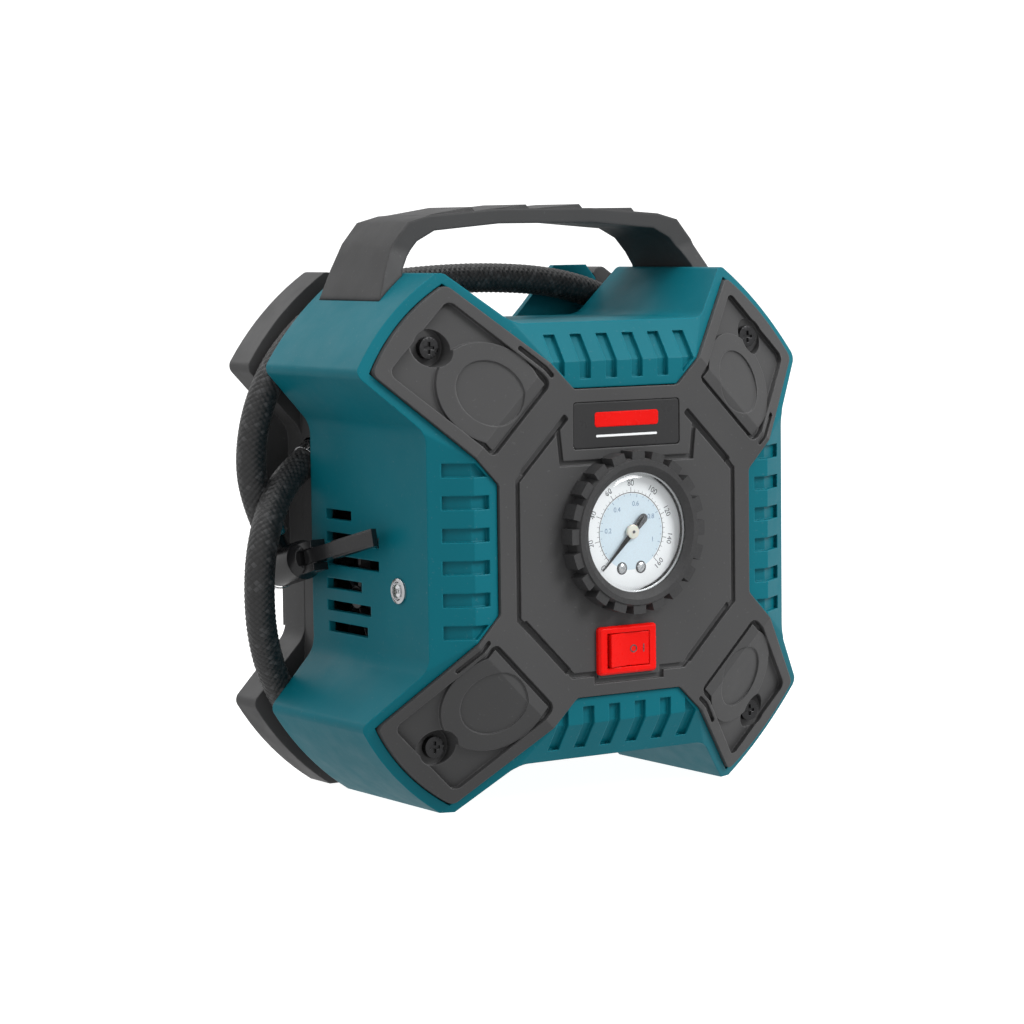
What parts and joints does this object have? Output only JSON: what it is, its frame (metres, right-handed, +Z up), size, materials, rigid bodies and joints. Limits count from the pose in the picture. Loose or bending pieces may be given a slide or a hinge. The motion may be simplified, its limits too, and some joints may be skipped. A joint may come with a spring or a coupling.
{
  "type": "portable air pump",
  "caption": "Portable electric air pump in an X-shaped housing with dial gauge, rocker switch, lamp, carry strap and a braided hose wound in a groove with a thumb-lock chuck.",
  "frame": {"origin": "on the floor under the middle of the housing, hose and chuck not counted", "axes": "+X to the right seen from the gauge side, +Y from the gauge to the rear cover, +Z up"},
  "size_m": [0.1778, 0.1088, 0.1855],
  "materials": {
    "teal_shell": "satin moulded, teal",
    "charcoal_shell": "fine texture, charcoal",
    "strap_rubber": "matte, charcoal",
    "black_plastic": "satin black",
    "bezel_rubber": "matte black",
    "dial_face": "white enamel",
    "clear_lens": "clear",
    "pointer_black": "matte black",
    "brass": "machined",
    "steel": "machined",
    "zinc_screw": "zinc plated",
    "black_screw": "black oxide",
    "switch_red": "gloss red",
    "rocker_red": "gloss red",
    "lamp_clear": "clear dome",
    "circuit_board": "green board",
    "can_steel": "zinc grey",
    "magnet": "ferrite",
    "pump_alloy": "die cast",
    "gear_nylon": "natural nylon",
    "seal_rubber": "black",
    "pipe_silicone": "translucent",
    "hose_braid": "braided cover, black with grey flecks",
    "plate_blank": "blank name plate"
  },
  "bodies": {
    "housing": {"front_shell": "teal_shell", "front_cover": "charcoal_shell", "rear_cover": "charcoal_shell", "carry_handle": "strap_rubber", "hose_guide": "teal_shell", "gauge_bezel": "bezel_rubber", "gauge_case": "black_plastic", "gauge_dial": "dial_face", "gauge_lens": "clear_lens", "gauge_movement": "brass", "pressure_tube": "brass", "dial_screws": "zinc_screw", "gauge_stem": "brass", "switch_housing": "switch_red", "switch_terminals": "brass", "lamp_ring": "zinc_screw", "lamp_lens": "lamp_clear", "lamp_board": "circuit_board", "motor_can": "can_steel", "motor_end_cap": "black_plastic", "motor_magnets": "magnet", "motor_brushes": "magnet", "pump_frame": "pump_alloy", "axle_clip": "steel", "pump_cylinder": "pump_alloy", "cylinder_head": "pump_alloy", "valve_plate": "steel", "valve_reed": "steel", "motor_screws": "zinc_screw", "air_manifold": "brass", "delivery_pipe": "pipe_silicone", "gauge_pipe": "pipe_silicone", "air_hose": "hose_braid", "hose_outlet": "steel", "chuck_body": "black_plastic", "chuck_ring": "zinc_screw", "chuck_seal": "seal_rubber", "valve_probe": "steel", "lever_pin": "steel", "hose_ferrule": "steel", "cover_screws": "black_screw", "case_screws": "zinc_screw", "lead_gland": "seal_rubber", "name_plate": "plate_blank"},
    "rocker": {"switch_rocker": "rocker_red"},
    "needle": {"gauge_needle": "pointer_black"},
    "lever": {"chuck_lever": "black_plastic"},
    "rotor": {"motor_rotor": "steel", "motor_pinion": "brass", "cooling_fan": "black_plastic"},
    "crank": {"drive_gear": "gear_nylon", "crank_pin": "steel", "crank_weight": "steel"},
    "piston": {"piston_rod": "pump_alloy", "piston_seal": "seal_rubber"}
  },
  "joints": [
    {"name": "rocker_tilt", "type": "hinge", "parent": "housing", "child": "rocker", "pos_m": [-0.0015, -0.0464, 0.0485], "axis": [0, 0, 1], "range_deg": [-8.4, 0]},
    {"name": "needle_turn", "type": "hinge", "parent": "housing", "child": "needle", "pos_m": [0, -0.05, 0.0848], "axis": [0, 1, 0], "range_deg": [0, 270]},
    {"name": "lever_flip", "type": "hinge", "parent": "housing", "child": "lever", "pos_m": [-0.0749, 0.01492, 0.07719], "axis": [0, 0.2419, 0.9703], "range_deg": [-80, 0]},
    {"name": "gear_spin", "type": "hinge", "parent": "housing", "child": "crank", "pos_m": [0, 0.009, 0.088], "axis": [1, 0, 0], "continuous": true},
    {"name": "motor_spin", "type": "hinge", "parent": "housing", "child": "rotor", "pos_m": [-0.03, 0.009, 0.064], "axis": [1, 0, 0], "continuous": true},
    {"name": "piston_slide", "type": "slide", "parent": "housing", "child": "piston", "axis": [0, 0, 1], "range_m": [-0.008, 0.008]}
  ],
  "couplings": [
    {"joint": "motor_spin", "follows": "gear_spin", "ratio": -5}
  ]
}
